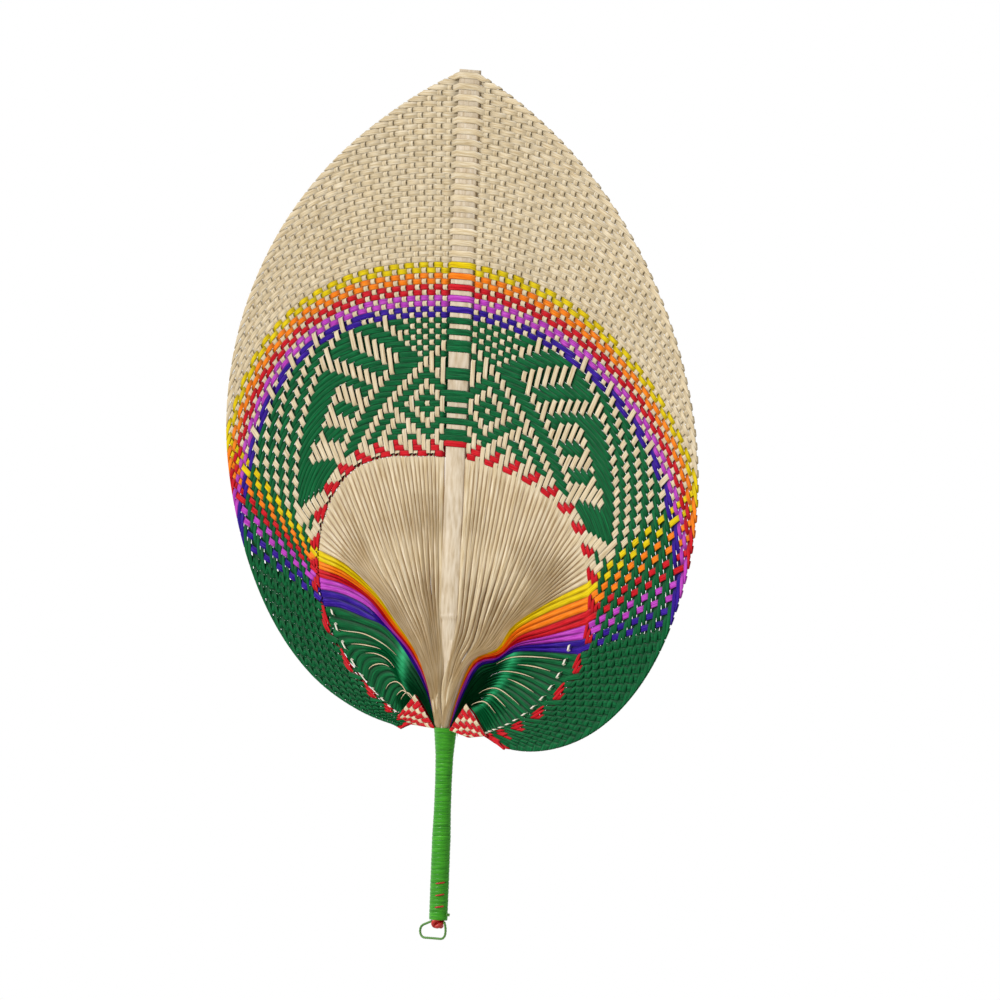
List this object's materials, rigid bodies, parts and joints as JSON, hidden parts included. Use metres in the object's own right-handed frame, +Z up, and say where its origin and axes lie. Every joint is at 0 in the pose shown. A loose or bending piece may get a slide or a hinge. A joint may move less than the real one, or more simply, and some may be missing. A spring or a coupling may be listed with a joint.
{
  "type": "woven hand fan",
  "caption": "Leaf-shaped hand fan woven from flat bamboo strips round a slat, with a thread-wound handle and a swinging hang loop.",
  "frame": {"origin": "middle of the grip, on the axis of the handle", "axes": "+Z up the spine to the tip, -Y out of the front of the blade, +X to the right seen from the front"},
  "size_m": [0.3027, 0.008, 0.3806],
  "materials": {
    "natural_strip": "split bamboo, satin, undyed",
    "spine": "split bamboo slat, satin, undyed",
    "yellow_strip": "split bamboo, dyed yellow",
    "orange_strip": "split bamboo, dyed orange",
    "red_strip": "split bamboo, dyed red",
    "magenta_strip": "split bamboo, dyed magenta",
    "violet_strip": "split bamboo, dyed violet",
    "green_strip": "split bamboo, dyed dark green",
    "winding": "glossy wound tape",
    "thread_tail": "loose thread end",
    "red_thread": "fine twisted thread",
    "end_knot": "tight knot of glossy thread",
    "hang_cord": "thin twisted cord"
  },
  "bodies": {
    "fan": {"ring_strips": "red_strip", "violet_strips": "violet_strip", "magenta_strips": "magenta_strip", "red_strips": "red_strip", "orange_strips": "orange_strip", "yellow_strips": "yellow_strip", "green_strips_01": "green_strip", "green_strips_02": "green_strip", "green_strips_03": "green_strip", "green_strips_04": "green_strip", "green_strips_05": "green_strip", "green_strips_06": "green_strip", "green_strips_07": "green_strip", "green_strips_08": "green_strip", "green_strips_09": "green_strip", "green_strips_10": "green_strip", "green_strips_11": "green_strip", "natural_strips_01": "natural_strip", "natural_strips_02": "natural_strip", "natural_strips_03": "natural_strip", "natural_strips_04": "natural_strip", "natural_strips_05": "natural_strip", "natural_strips_06": "natural_strip", "natural_strips_07": "natural_strip", "natural_strips_08": "natural_strip", "natural_strips_09": "natural_strip", "natural_strips_10": "natural_strip", "natural_strips_11": "natural_strip", "natural_strips_12": "natural_strip", "natural_strips_13": "natural_strip", "natural_strips_14": "natural_strip", "natural_strips_15": "natural_strip", "natural_strips_16": "natural_strip", "natural_strips_17": "natural_strip", "green_gather_left": "green_strip", "coloured_gather_left": "orange_strip", "natural_gather_left": "natural_strip", "lobe_weft_left": "natural_strip", "strip_ends_left": "natural_strip", "green_gather_right": "green_strip", "coloured_gather_right": "orange_strip", "natural_gather_right": "natural_strip", "lobe_weft_right": "natural_strip", "strip_ends_right": "natural_strip", "spine_slat": "spine", "handle_winding": "winding", "red_thread": "red_thread", "thread_tail": "thread_tail", "end_knot": "end_knot", "loop_knot": "hang_cord"},
    "hang_loop": {"hang_loop": "hang_cord"}
  },
  "joints": [
    {"name": "hang_loop_swing", "type": "hinge", "parent": "fan", "child": "hang_loop", "pos_m": [0, 0, -0.0427], "axis": [1, 0, 0], "range_deg": [-80, 80]}
  ]
}
